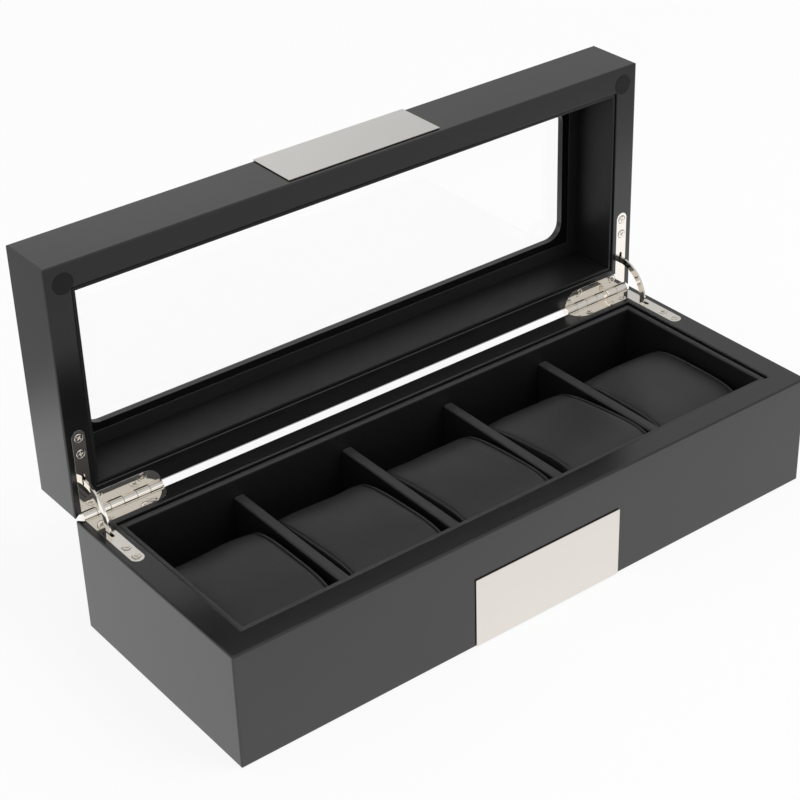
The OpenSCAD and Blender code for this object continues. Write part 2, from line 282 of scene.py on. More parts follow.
def blackLacquer(name, along):
    finish = Finish(name)
    stretch = [1, 1, 1]
    stretch[along] = lacquer["grainStretch"]
    grain = finish.noise(lacquer["grainScale"], 5, 0.6, stretch)
    pores = finish.noise(lacquer["grainScale"] * lacquer["pores"], 2, 0.5, stretch)
    drawnOut = [1, 1, 1]
    drawnOut[along] = lacquer["cloudStretch"]
    cloud = finish.noise(lacquer["cloudScale"], 3, 0.55, drawnOut)
    peel = finish.noise(lacquer["peelScale"], 2)
    specks = finish.node("ShaderNodeTexVoronoi", {"feature": "F1"}, {
        "Vector": finish.where, "Scale": lacquer["dustScale"]}, "Distance")
    tone = finish.blend(grain * 0.5 + cloud * 0.5, lacquer["low"], lacquer["high"])
    low, high = lacquer["roughness"]
    height = finish.bump(grain + pores * lacquer["poreShare"], lacquer["grainDepth"])
    height = finish.bump(peel, lacquer["peelDepth"], over=height)
    return finish.surface(finish.principled(
        Base_Color=finish.blend(specks < lacquer["dustSize"], tone, grey(lacquer["dustTone"])),
        Roughness=finish.between(cloud * 0.7 + grain * 0.3, low, high),
        IOR=lacquer["ior"], Normal=height))


leather = {
    "pebble": 1500,             # pebbles to the metre
    "crease": 420,
    "cloud": 22,
    "pebbleDepth": 0.04 * mm,
    "creaseDepth": 0.05 * mm,
    "shine": 0.5,
    # painted highlight: the paler tone laid along the boards' tops
    "litTopTone": (0.033, 0.033, 0.034, 1),
    "litTopDeep": 0.9 * mm,       # how far down from a board's top the painted highlight reaches
    "litTopFade": 0.5 * mm,
}


def leatherette(name, tones, roughness, top=1):
    # paler near the height top: a painted highlight where light catches a board's top edge
    finish = Finish(name)
    pebble = finish.node("ShaderNodeTexVoronoi", {"feature": "SMOOTH_F1"}, {
        "Vector": finish.where, "Scale": leather["pebble"], "Smoothness": 0.6}, "Distance")
    crease = finish.noise(leather["crease"], 4, 0.6)
    cloud = finish.noise(leather["cloud"], 3, 0.5)
    height = finish.bump(crease, leather["creaseDepth"])
    height = finish.bump(pebble, leather["pebbleDepth"], 0.8, height)
    tone = finish.blend(cloud * 0.6 + pebble * 0.4, *tones)
    # painted highlight: the board's top is drawn paler, as where light catches its edge
    litTop = finish.held((finish.part("Z") - (top - leather["litTopDeep"])) / leather["litTopFade"])
    return finish.surface(finish.principled(
        Base_Color=finish.blend(litTop * (0.7 + cloud * 0.4), tone, leather["litTopTone"]),
        Roughness=finish.between(cloud * 0.5 + crease * 0.5, *roughness),
        Specular_IOR_Level=leather["shine"], Normal=height))


nickelPlate = {
    "low": (0.95, 0.9, 0.82, 1),
    "high": (0.99, 0.955, 0.9, 1),
    "roughness": (0.03, 0.09),
    "cloudScale": 180,
    "scratchScale": 2600,
    "waveScale": 260,
    "waveDepth": 0.002 * mm,
}


def polishedNickel(name):
    finish = Finish(name)
    cloud = finish.noise(nickelPlate["cloudScale"], 3, 0.55)
    wave = finish.noise(nickelPlate["waveScale"], 1)
    scratch = finish.noise(nickelPlate["scratchScale"], 2, 0.6, [1, 0.06, 1])
    worn = cloud * 0.6 + scratch * 0.4
    return finish.surface(finish.principled(
        Base_Color=finish.blend(cloud, nickelPlate["low"], nickelPlate["high"]),
        Metallic=1.0, Roughness=finish.between(worn, *nickelPlate["roughness"]),
        Normal=finish.bump(wave, nickelPlate["waveDepth"])))


plateSteel = {
    # the body and lid plates are one steel; their two tone pairs differ as painted light and shade on
    # each plate
    "bodyTones": ((0.765, 0.727, 0.68, 1), (0.835, 0.797, 0.75, 1)),
    "bodyRoughness": (0.24, 0.38),
    "lidTones": ((0.82, 0.8, 0.765, 1), (0.9, 0.88, 0.845, 1)),
    "lidRoughness": (0.26, 0.4),
    "brushScale": 5200,         # brush marks to the metre across the plate
    "broadScale": 60,
    "brushDepth": 0.003 * mm,
}


def brushedSteel(name, tones, roughness):
    # the brush marks run along the plate
    finish = Finish(name)
    brush = finish.noise(plateSteel["brushScale"], 3, 0.7, [0.012, 1, 1])
    broad = finish.noise(plateSteel["broadScale"], 2, 0.5, [0.2, 1, 1])
    return finish.surface(finish.principled(
        Base_Color=finish.blend(broad * 0.7 + brush * 0.3, *tones), Metallic=1.0,
        Roughness=finish.between(brush * 0.6 + broad * 0.4, *roughness),
        Normal=finish.bump(brush, plateSteel["brushDepth"])))


def clearGlass(name):
    # coated against reflections, and lamps shine through it
    finish = Finish(name)
    smudge = finish.noise(30, 4, 0.6)
    pane = finish.principled(
        Base_Color=grey(1), Transmission_Weight=1.0, IOR=1.2,
        Roughness=finish.between(smudge, 0.0, 0.01))
    passing = finish.node("ShaderNodeBsdfTransparent", values={"Color": grey(1)})
    return finish.surface(finish.mixed(finish.ray("Is Shadow Ray"), pane, passing))


def blackFelt(name):
    finish = Finish(name)
    fibre = finish.noise(3800, 4, 0.75)
    tuft = finish.noise(700, 3, 0.6)
    return finish.surface(finish.principled(
        Base_Color=finish.blend(fibre, (0.004, 0.004, 0.0045, 1), (0.014, 0.014, 0.015, 1)),
        Roughness=finish.between(tuft, 0.88, 1.0), Specular_IOR_Level=0.2,
        Normal=finish.bump(fibre + tuft, 0.25 * mm), Sheen_Weight=0.12, Sheen_Roughness=0.5))


def blackFoam(name):
    finish = Finish(name)
    cell = finish.noise(2400, 3, 0.7)
    return finish.surface(finish.principled(
        Base_Color=finish.blend(cell, (0.004, 0.004, 0.004, 1), (0.012, 0.012, 0.012, 1)),
        Roughness=finish.between(cell, 0.75, 0.95), Specular_IOR_Level=0.3,
        Normal=finish.bump(cell, 0.05 * mm)))


def darkBoard(name):
    finish = Finish(name)
    fibre = finish.noise(900, 5, 0.7)
    return finish.surface(finish.principled(
        Base_Color=finish.blend(fibre, (0.02, 0.016, 0.012, 1), (0.05, 0.042, 0.034, 1)),
        Roughness=finish.between(fibre, 0.6, 0.8), Normal=finish.bump(fibre, 0.06 * mm)))


lacquerX = blackLacquer("black_lacquer_along_x", 0)
lacquerY = blackLacquer("black_lacquer_along_y", 1)
lacquerZ = blackLacquer("black_lacquer_along_z", 2)
blackTone = ((0.0042, 0.0042, 0.0044, 1), (0.0065, 0.0065, 0.0067, 1))
softTone = ((0.0165, 0.0165, 0.0172, 1), (0.0235, 0.0235, 0.0244, 1))
boardSheen = (0.42, 0.54)
pillowSheen = (0.38, 0.48)
lining = leatherette("lining_leatherette", blackTone, boardSheen)
# these two carry the painted highlight along their tops
linerWrap = leatherette("liner_leatherette", blackTone, boardSheen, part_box("liner_back")[1].z)
dividerWrap = leatherette("divider_leatherette", blackTone, boardSheen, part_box("divider_1")[1].z)
pillowSkin = leatherette("pillow_leatherette", softTone, pillowSheen)
nickel = polishedNickel("polished_nickel")
# one steel for both plates, with tones that paint the light each plate gets
bodySteel = brushedSteel("body_plate_steel", plateSteel["bodyTones"], plateSteel["bodyRoughness"])
lidSteel = brushedSteel("lid_plate_steel", plateSteel["lidTones"], plateSteel["lidRoughness"])
glass = clearGlass("clear_glass")
foam = blackFoam("black_foam")
felt = blackFelt("black_felt")
board = darkBoard("dark_board")
print("finishes made:", len(bpy.data.materials))


# Camera, floor and light

cameraSet = {
    "place": (-0.4537, -0.5673, 0.5282),
    "ahead": (0.50893, 0.68148, -0.5259),
    "roll": -1.902,             # degrees
    "lens": 90.65,              # for a sensor 36 wide
    "sensor": 36,
}


def addCamera():
    data = bpy.data.cameras.new("camera")
    data.lens = cameraSet["lens"]
    data.sensor_width = cameraSet["sensor"]
    data.clip_start = 0.01
    camera = bpy.data.objects.new("camera", data)
    bpy.context.scene.collection.objects.link(camera)
    turn = Vector(cameraSet["ahead"]).to_track_quat("-Z", "Y").to_matrix().to_4x4()
    camera.matrix_world = turn @ Matrix.Rotation(math.radians(cameraSet["roll"]), 4, "Z")
    camera.location = cameraSet["place"]
    bpy.context.scene.camera = camera


studio = {
    "floorSize": 12,
    "floorGlow": 0.88,          # share of the floor's white that the shadow can't darken
    "floorColour": 0.9,
    "brightMiddle": 0.04,       # the floor shines brightest in a band along the box
    "brightHalf": 0.16,
    "brightFade": 0.06,
    "floorShine": 0.36,         # what polished faces get from the floor beyond the band
    "skyLight": 0.62,           # what the room sends to matt surfaces
    "skyShine": 0.56,           # what polished faces get from the room
    "leftShine": 1.0,           # and what they get from low on its left, as from a window there
    "leftEdge": 0.6,            # the window's right and upper edges, as directions of length 1
    "lowEdge": 0.5,
    "edgeFade": 0.15,
    "keyPlace": (0.75, -0.9, 1.7),
    "keySize": 1.3,
    "keyPower": 18,
    "fillPlace": (-1.6, -0.7, 1.1),
    "fillSize": 1.6,
    "fillPower": 6,
}


def seenDirectly(finish):
    # 1 for rays to the eye, straight or by way of metal and glass
    return finish.held(
        finish.ray("Is Camera Ray") + finish.ray("Is Transmission Ray") + finish.ray("Is Glossy Ray"))


def addFloor():
    bpy.ops.object.select_all(action="DESELECT")
    bpy.ops.mesh.primitive_plane_add(size=studio["floorSize"])
    floor = bpy.context.object
    floor.name = "floor"
    finish = Finish("pale_floor")
    matt = finish.node("ShaderNodeBsdfDiffuse", values={"Color": grey(studio["floorColour"])})
    white = finish.node("ShaderNodeEmission", values={"Color": grey(1), "Strength": 1.0})
    faint = finish.node("ShaderNodeEmission", values={"Color": grey(1), "Strength": studio["floorShine"]})
    across = finish.part("Y") - studio["brightMiddle"]
    off = finish.node("ShaderNodeMath", {"operation": "ABSOLUTE"}, {0: across})
    fade = finish.held((off - studio["brightHalf"]) / studio["brightFade"])
    glow = finish.mixed((finish.ray("Glossy Depth") > 0.5) * fade, white, faint)
    floor.data.materials.append(finish.surface(
        finish.mixed(seenDirectly(finish) * studio["floorGlow"], matt, glow)))


def addSky():
    world = bpy.data.worlds.new("studio")
    bpy.context.scene.world = world
    finish = Finish("studio", world)
    matt, shine, window, white = [
        finish.node("ShaderNodeBackground", values={"Color": grey(1), "Strength": strength})
        for strength in (studio["skyLight"], studio["skyShine"], studio["leftShine"], 1.0)]
    isLeft = finish.held((studio["leftEdge"] - finish.part("X")) / studio["edgeFade"])
    isLow = finish.held((studio["lowEdge"] - finish.part("Z")) / studio["edgeFade"])
    mirrored = finish.mixed(isLeft * isLow, shine, window)
    bright = finish.mixed(finish.ray("Glossy Depth") > 0.5, white, mirrored)
    finish.surface(finish.mixed(seenDirectly(finish), matt, bright))


def addLamp(name, place, size, power):
    data = bpy.data.lights.new(name, "AREA")
    data.shape = "SQUARE"
    data.size = size
    data.energy = power
    lamp = bpy.data.objects.new(name, data)
    lamp.location = place
    lamp.rotation_mode = "QUATERNION"
    lamp.rotation_quaternion = (-Vector(place)).to_track_quat("-Z", "Y")
    lamp.visible_glossy = False
    bpy.context.scene.collection.objects.link(lamp)


addCamera()
addFloor()
addSky()
addLamp("key_lamp", studio["keyPlace"], studio["keySize"], studio["keyPower"])
addLamp("fill_lamp", studio["fillPlace"], studio["fillSize"], studio["fillPower"])
bpy.context.scene.view_settings.view_transform = "Standard"
print("camera, floor and light set")


# Woodwork and other parts that keep their shape

kept = {
    "wall_front": lacquerX, "wall_back": lacquerX, "wall_left": lacquerY, "wall_right": lacquerY,
    "lid_rail_front": lacquerX, "lid_rail_back": lacquerX, "lid_panel": lacquerX,
    "lid_rail_left": lacquerZ, "lid_rail_right": lacquerZ,
    "base_board": board, "base_felt": felt, "floor_pad": lining, "glass_pane": glass,
    "body_plate_pad": foam, "lid_plate_pad": foam, "hinge_pin_left": nickel, "hinge_pin_right": nickel,
}
for name, finish in kept.items():
    nodes[name].material_slots[0].material = finish
print("woodwork finished:", len(kept))


# Front plates with broken edges

plateEase = 0.08 * mm


def easedBlock(node, name, width, segments=2):
    piece = addBlock(name, *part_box(node))
    applyModifier(piece, "BEVEL", width=width, segments=segments, limit_method="ANGLE")
    smooth(piece, 30)
    return piece


for node, body, steel in (("body_plate", "box", bodySteel), ("lid_plate", "lid", lidSteel)):
    put(easedBlock(node, node + "_eased", plateEase), body, "plate_steel", steel, node)
print("plates set")


# Boards wrapped in leatherette

wrapped = {
    "topRound": 1.3 * mm,
    "dividerGap": 0.25 * mm,    # air at each end of a divider
    "edgeRound": 0.3 * mm,
    "paneEdge": 0.2 * mm,       # air round the glass pane in its frame
    "span": 6 * mm,             # how closely a board is divided along its length
    "swell": 0.16 * mm,
    "swellSize": 30 * mm,
}


def cutAcross(piece, axis, span):
    # divides a board along its length
    low = min(v.co[axis] for v in piece.data.vertices)
    high = max(v.co[axis] for v in piece.data.vertices)
    cuts = max(1, round((high - low) / span))
    normal = [0, 0, 0]
    normal[axis] = 1
    for i in range(1, cuts):
        place = [0, 0, 0]
        place[axis] = low + (high - low) * i / cuts
        bpy.ops.mesh.select_all(action="SELECT")
        bpy.ops.mesh.bisect(plane_co=place, plane_no=normal)


def swellPiece(piece):
    texture = bpy.data.textures.new("swell", "CLOUDS")
    texture.noise_scale = wrapped["swellSize"]
    texture.noise_depth = 1
    applyModifier(piece, "DISPLACE", texture=texture, texture_coords="LOCAL",
                  strength=wrapped["swell"], mid_level=0.5)


def wrappedBoard(node, axis, mitred=False, gap=0):
    # axis is the way that the board runs
    low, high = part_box(node)
    low[axis] += gap
    high[axis] -= gap
    piece = addBlock(node + "_wrapped", low, high)
    across = 1 - axis
    bpy.ops.object.mode_set(mode="EDIT")
    selectEdges(lambda a, b: min(a.z, b.z) > high[2] - near and abs(a[across] - b[across]) < near)
    bpy.ops.mesh.bevel(offset=wrapped["topRound"], segments=6, affect="EDGES")
    if mitred:
        middle = (low[across] + high[across]) / 2
        outer = 1 if middle > 0 else -1
        for end in (-1, 1):
            corner = [0, 0, 0]
            corner[axis] = end * high[axis]
            corner[across] = outer * max(abs(low[across]), abs(high[across]))
            normal = [0, 0, 0]
            normal[axis] = end
            normal[across] = -outer
            bpy.ops.mesh.select_all(action="SELECT")
            bpy.ops.mesh.bisect(plane_co=corner, plane_no=normal, clear_outer=True, use_fill=True)
    else:
        # the leatherette folds over the ends
        selectFaces(lambda middle, normal: abs(normal[axis]) > 0.9)
        bpy.ops.mesh.region_to_loop()
        bpy.ops.mesh.bevel(offset=wrapped["edgeRound"], segments=3, affect="EDGES")
    cutAcross(piece, axis, wrapped["span"])
    bpy.ops.object.mode_set(mode="OBJECT")
    swellPiece(piece)
    smooth(piece)
    return piece


for side, axis in (("front", 0), ("back", 0), ("left", 1), ("right", 1)):
    node = "liner_" + side
    liner = wrappedBoard(node, axis, mitred=True)
    put(liner, "box", "lining_leatherette", linerWrap, node)
for i in range(1, 5):
    node = f"divider_{i}"
    divider = wrappedBoard(node, 1, gap=wrapped["dividerGap"])
    put(divider, "box", "lining_leatherette", dividerWrap, node)
for side in ("front", "back", "left", "right"):
    node = "lid_liner_" + side
    strip = easedBlock(node, node + "_wrapped", wrapped["edgeRound"], 3)
    put(strip, "lid", "lining_leatherette", lining, node)


def addGlassFrame():
    # a wrapped frame that lies round the pane
    low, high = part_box("glass_pane")
    reach = Vector((wrapped["paneEdge"], 1 * mm, wrapped["paneEdge"]))
    piece = addBlock("glass_frame_wrapped", *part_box("glass_frame"))
    cutWith(piece, addBlock("pane_hole", low - reach, high + reach))
    applyModifier(piece, "BEVEL", width=wrapped["edgeRound"], segments=3, limit_method="ANGLE")
    smooth(piece, 30)
    put(piece, "lid", "lining_leatherette", lining, "glass_frame")


addGlassFrame()
print("lining wrapped")


# Quadrant hinges, drawn with the hinge axis at the origin and for the left of the body

hinge = {
    "inset": 3.1 * mm,          # from the side of the box
    "thick": 1.2 * mm,
    "under": 0.2 * mm,          # from the axis down to the rim
    "armWide": 6.2 * mm,
    "armLong": 41 * mm,
    "backWide": 9.2 * mm,
    "backLong": 38.4 * mm,
    "backRound": 7.36 * mm,
    "chamfer": 0.09 * mm,
    "knuckles": 6,
    "barrel": 2.2 * mm,
    "clear": 2.65 * mm,         # what a leaf leaves free round the other one's knuckles
    "knuckleAir": 0.15 * mm,
    "slotWide": 1.6 * mm,
    "slotNear": 14.2 * mm,
    "slotFar": 20.1 * mm,
    "knuckleEdge": 0.16 * mm,
    "sheet": 0.3 * mm,
    "sideScrews": (37.45 * mm, 29.85 * mm),
    "backScrews": (8.4 * mm, 29.6 * mm),
    "backRow": 7 * mm,
    "sinkNarrow": 0.9 * mm,     # radius of a screw hole at the underside, and at the top
    "sinkWide": 2.2 * mm,
}
axisY, axisZ = frame["joints"][0]["pos_m"][1:]
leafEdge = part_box("wall_left")[0][0] + hinge["inset"]
armMiddle = leafEdge + hinge["armWide"] / 2
screwSpots = [(armMiddle, -back) for back in hinge["sideScrews"]]
screwSpots += [(leafEdge + along, -hinge["backRow"]) for along in hinge["backScrews"]]


def placeOnHinge(piece, isRight, isLid):
    # the lid's half is the mirror image across the rims, and stands open
    piece.scale = (-1 if isRight else 1, 1, -1 if isLid else 1)
    piece.rotation_euler = (math.radians(-90) if isLid else 0, 0, 0)
    piece.location = (0, axisY, axisZ)
    settle(piece)
    turnOutward(piece)


def leafArm(high, low, cornerX, radius):
    # a flat arm with its free corners rounded
    arm = addBlock("arm", low, high)
    bpy.ops.object.mode_set(mode="EDIT")
    upright = hinge["thick"] / 2
    selectEdges(lambda a, b: abs(a.z - b.z) > upright and a.y < low[1] + near and a.x > cornerX)
    bpy.ops.mesh.bevel(offset=radius, segments=14, affect="EDGES")
    bpy.ops.object.mode_set(mode="OBJECT")
    return arm


def addRod(radius, low, high):
    bpy.ops.object.select_all(action="DESELECT")
    bpy.ops.mesh.primitive_cylinder_add(vertices=48, radius=radius, depth=high - low,
                                        location=((low + high) / 2, 0, 0),
                                        rotation=(0, math.radians(90), 0))
    rod = bpy.context.object
    settle(rod)
    return rod


def slotCutter(top, bottom):
    wide = hinge["slotWide"]
    cutter = addBlock("slot", (armMiddle - wide / 2, -hinge["slotFar"], bottom),
                      (armMiddle + wide / 2, -hinge["slotNear"], top))
    bpy.ops.object.mode_set(mode="EDIT")
    selectEdges(lambda a, b: abs(a.z - b.z) > hinge["thick"] / 2)
    bpy.ops.mesh.bevel(offset=wide * 0.498, segments=8, affect="EDGES")
    bpy.ops.object.mode_set(mode="OBJECT")
    return cutter


def modelLeaf(first):
    # a plate with two arms and every second knuckle
    top = -hinge["under"]
    bottom = top - hinge["thick"]
    leaf = leafArm((leafEdge + hinge["armWide"], 0, top), (leafEdge, -hinge["armLong"], bottom),
                   leafEdge - 1, hinge["armWide"] * 0.499)
    back = leafArm((leafEdge + hinge["backLong"], 0, top), (leafEdge, -hinge["backWide"], bottom),
                   leafEdge + hinge["armWide"], hinge["backRound"])
    cutWith(leaf, back, "UNION")
    bpy.ops.object.mode_set(mode="EDIT")
    bpy.ops.mesh.select_all(action="SELECT")
    bpy.ops.mesh.dissolve_limited(angle_limit=math.radians(1))
    selectFaces(lambda middle, normal: normal.z > 0.99 and middle.z > top - near)
    bpy.ops.mesh.region_to_loop()
    bpy.ops.mesh.bevel(offset=hinge["chamfer"], segments=2, affect="EDGES")
    bpy.ops.object.mode_set(mode="OBJECT")
    cutWith(leaf, addRod(hinge["clear"], leafEdge - 1 * mm, leafEdge + hinge["backLong"] + 1 * mm))
    cutWith(leaf, slotCutter(top + 1 * mm, bottom - 1 * mm))
    for x, y in screwSpots:
        bpy.ops.object.select_all(action="DESELECT")
        bpy.ops.mesh.primitive_cone_add(
            vertices=40, radius1=hinge["sinkNarrow"], radius2=hinge["sinkWide"],
            depth=hinge["thick"] + 0.1 * mm, location=(x, y, (top + bottom) / 2))
        cutWith(leaf, bpy.context.object)
    parts = [leaf]
    pitch = hinge["backLong"] / hinge["knuckles"]
    for k in range(first, hinge["knuckles"], 2):
        start = leafEdge + k * pitch + hinge["knuckleAir"] / 2
        end = start + pitch - hinge["knuckleAir"]
        knuckle = addRod(hinge["barrel"], start, end)
        applyModifier(knuckle, "BEVEL", width=hinge["knuckleEdge"], segments=3, limit_method="ANGLE")
        # the sheet runs under the knuckle that is rolled from it
        sheet = addBlock("sheet", (start, -hinge["clear"] - 0.1 * mm, bottom),
                         (end, -hinge["barrel"] / 2, bottom + hinge["sheet"]))
        parts += [knuckle, sheet]
    pickOnly(*parts)
    bpy.ops.object.join()
    return leaf


for part, body, isLid in (("base", "box", False), ("lid", "lid", True)):
    leaf = modelLeaf(int(isLid))
    for side in ("left", "right"):
        node = f"{part}_leaf_{side}"
        piece = copyOf(leaf, node + "_eased")
        placeOnHinge(piece, side == "right", isLid)
        smooth(piece)
        put(piece, body, "nickel", nickel, node)
    bpy.data.objects.remove(leaf)
print("hinge leaves set")


# Curved stays between the leaves

stay = {
    "radius": 16.1 * mm,
    "wide": 3.2 * mm,
    "thick": 1 * mm,
    "lugWide": 5.2 * mm,
    "lugSpan": 5,               # degrees, as the next two
    "low": 12,                  # where the sweep starts under the rim, with the lid open
    "span": 114,
    "edge": 0.12 * mm,
}


def sweptBar(wide, start, span, steps):
    # a flat bar swept round the hinge axis from the angle start under the rim
    bpy.ops.object.select_all(action="DESELECT")
    bpy.ops.mesh.primitive_plane_add(size=1)
    bar = bpy.context.object
    bar.scale = (stay["thick"], wide, 1)
    bar.location = (armMiddle, -stay["radius"], 0)
    settle(bar)
    bpy.ops.object.mode_set(mode="EDIT")
    bpy.ops.mesh.select_all(action="SELECT")
    bpy.ops.mesh.spin(steps=steps, angle=math.radians(span), center=(0, 0, 0), axis=(1, 0, 0))
    bpy.ops.object.mode_set(mode="OBJECT")
    bar.rotation_euler = (math.radians(start), 0, 0)
    settle(bar)
    turnOutward(bar)
    applyModifier(bar, "BEVEL", width=stay["edge"], segments=3, limit_method="ANGLE",
                  angle_limit=math.radians(40))
    return bar


for side in ("left", "right"):
    node = "stay_" + side
    bar = sweptBar(stay["wide"], stay["low"], stay["span"], 48)
    lugs = [sweptBar(stay["lugWide"], stay["low"], stay["lugSpan"], 3),
            sweptBar(stay["lugWide"], stay["low"] + stay["lugSpan"] - stay["span"], stay["lugSpan"], 3)]
    pickOnly(bar, *lugs)
    bpy.ops.object.join()
    bar.name = node + "_bar"
    placeOnHinge(bar, side == "right", False)
    smooth(bar, 40)
    put(bar, node, "nickel", nickel, node)
print("stays set")


# Hinge screws with a cross recess

screwSet = {
    "headWide": 3.8 * mm,
    "shankWide": 1.7 * mm,
    "headDeep": 1.1 * mm,
    "long": 9 * mm,
    "rimWide": 0.12 * mm,
    "rimHigh": 0.06 * mm,
    "domeWide": 0.5 * mm,
    "domeHigh": 0.1 * mm,
    "tip": 0.35,                # width of the point beside the shank's
    "edge": 0.05 * mm,
    "slotLong": 2.3 * mm,
    "slotWide": 0.5 * mm,
    "slotDeep": 0.75 * mm,
    "sides": 32,
}


def modelScrew():
    # a countersunk screw at the origin, its head at the top
    bpy.ops.object.select_all(action="DESELECT")
    bpy.ops.mesh.primitive_cylinder_add(vertices=screwSet["sides"], radius=screwSet["headWide"] / 2,
                                        depth=screwSet["headDeep"],
                                        location=(0, 0, -screwSet["headDeep"] / 2))
    screw = bpy.context.object
    settle(screw)
    narrow = screwSet["shankWide"] / screwSet["headWide"]
    bpy.ops.object.mode_set(mode="EDIT")
    selectFaces(lambda middle, normal: normal.z < -0.9)
    bpy.ops.transform.resize(value=(narrow, narrow, 1))
    bpy.ops.mesh.extrude_region_move(
        TRANSFORM_OT_translate={"value": (0, 0, screwSet["headDeep"] - screwSet["long"])})
    bpy.ops.transform.resize(value=(screwSet["tip"], screwSet["tip"], 1))
    selectFaces(lambda middle, normal: normal.z > 0.9)
    bpy.ops.mesh.inset(thickness=screwSet["rimWide"], depth=screwSet["rimHigh"])
    bpy.ops.mesh.inset(thickness=screwSet["domeWide"], depth=screwSet["domeHigh"])
    bpy.ops.object.mode_set(mode="OBJECT")
    for angle in (0, 90):
        bpy.ops.object.select_all(action="DESELECT")
        bpy.ops.mesh.primitive_cube_add(
            size=1, rotation=(0, 0, math.radians(angle)),
            scale=(screwSet["slotLong"], screwSet["slotWide"], screwSet["slotDeep"] * 2))
        cutWith(screw, bpy.context.object)
    applyModifier(screw, "BEVEL", width=screwSet["edge"], segments=1, limit_method="ANGLE",
                  angle_limit=math.radians(35))
    return screw


def addScrews():
    screw = modelScrew()
    for name, body, isLid in (("base_hinge_screws", "box", False), ("lid_hinge_screws", "lid", True)):
        group = []
        for isRight in (False, True):
            for i, (x, y) in enumerate(screwSpots):
                twin = copyOf(screw, "screw")
                # no two screws stopped at the same turn
                twin.rotation_euler = (0, 0, math.radians(15 + 47 * i + 23 * isLid + 31 * isRight))
                twin.location = (x, y, -hinge["under"])
                settle(twin)
                placeOnHinge(twin, isRight, isLid)
                group.append(twin)
        pickOnly(*group)
        bpy.ops.object.join()
        joined = bpy.context.object
        joined.name = name + "_cross"
        smooth(joined, 30)
        put(joined, body, "nickel", nickel, name)
    bpy.data.objects.remove(screw)


addScrews()
print("screws set")


# Felt bumpers in the lid's front corners

bumperEdge = 0.3 * mm


def addBumpers():
    low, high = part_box("lid_bumpers")
    radius = (high.z - low.z) / 2
    discs = []
    for x in (low.x + radius, high.x - radius):
        bpy.ops.object.select_all(action="DESELECT")
        bpy.ops.mesh.primitive_cylinder_add(
            vertices=64, radius=radius, depth=high.y - low.y, rotation=(math.radians(90), 0, 0),
            location=(x, (low.y + high.y) / 2, (low.z + high.z) / 2))
        disc = bpy.context.object
        settle(disc)
        applyModifier(disc, "BEVEL", width=bumperEdge, segments=3, limit_method="ANGLE")
        discs.append(disc)
    pickOnly(*discs)
    bpy.ops.object.join()
    discs[0].name = "lid_bumpers_soft"
    smooth(discs[0], 30)
    put(discs[0], "lid", "felt", felt, "lid_bumpers")


addBumpers()
print("bumpers set")


# Pillows

pillowSet = {
    "sides": 56,
    "power": 3.2,               # squareness of the end, from an ellipse at 2
    "halfWide": 24 * mm,        # from the middle to the outside of the lip
    "slack": 0.35 * mm,         # how much smaller the cover is before it is filled
    "crown": 1.0 * mm,          # how far the lip lies inside the crown
    "lip": 1.5 * mm,            # width of the sewn lip
    "grooveWide": 0.4 * mm,
    "grooveDeep": 1.7 * mm,
    "capInsets": (3 * mm, 4 * mm),
    "pressure": 4,
    "frames": 18,
    "rise": 0.8 * mm,           # the most that the filling lifts the cover
    "bulge": 1.4 * mm,          # the most that it pushes out the ends
    "pucker": 0.2 * mm,
    "puckerReach": 7 * mm,
    "puckerFade": 0.8 * mm,     # no pucker at the stitches themselves
    "puckerScale": (90, 260, 260),
    "slump": 0.45 * mm,         # unevenness of the filling
    "slumpFade": 9 * mm,
    "slumpScale": (55, 40),
    "cornerFade": 30 * mm,
    "bayAir": 0.4 * mm,
    "fill": 0.75,
}
# half width of each pillow, how far it has slid aside and how far it is turned
pillowFit = {
    1: (23.4, -1.3, 0.3),
    2: (23.3, -1.6, 3.5),
    3: (24.0, -0.3, 5.0),
    4: (23.4, 0.0, 8.0),
    5: (24.2, -0.9, 0.5),
}


def pillowProfile():
    # from the middle of the top over the groove and the sewn lip to the end, as place and depth
    wide, lip, crown = pillowSet["halfWide"], pillowSet["lip"], pillowSet["crown"]
    flat = wide - lip - pillowSet["grooveWide"]
    profile = [(flat * i / 8, pillowSet["slack"] + (crown - pillowSet["slack"]) * (i / 8) ** 6)
               for i in range(9)]
    profile.append((wide - lip, crown + pillowSet["grooveDeep"]))
    profile.append((wide - lip + 0.35 * mm, crown + 0.12 * mm))
    profile.append((wide - lip * 0.4, crown - 0.05 * mm))
    profile.append((wide, crown + 0.45 * mm))
    profile.append((wide - 0.1 * mm, crown + 1.3 * mm))
    profile.append((wide - 0.3 * mm, crown + 2.8 * mm))
    return profile


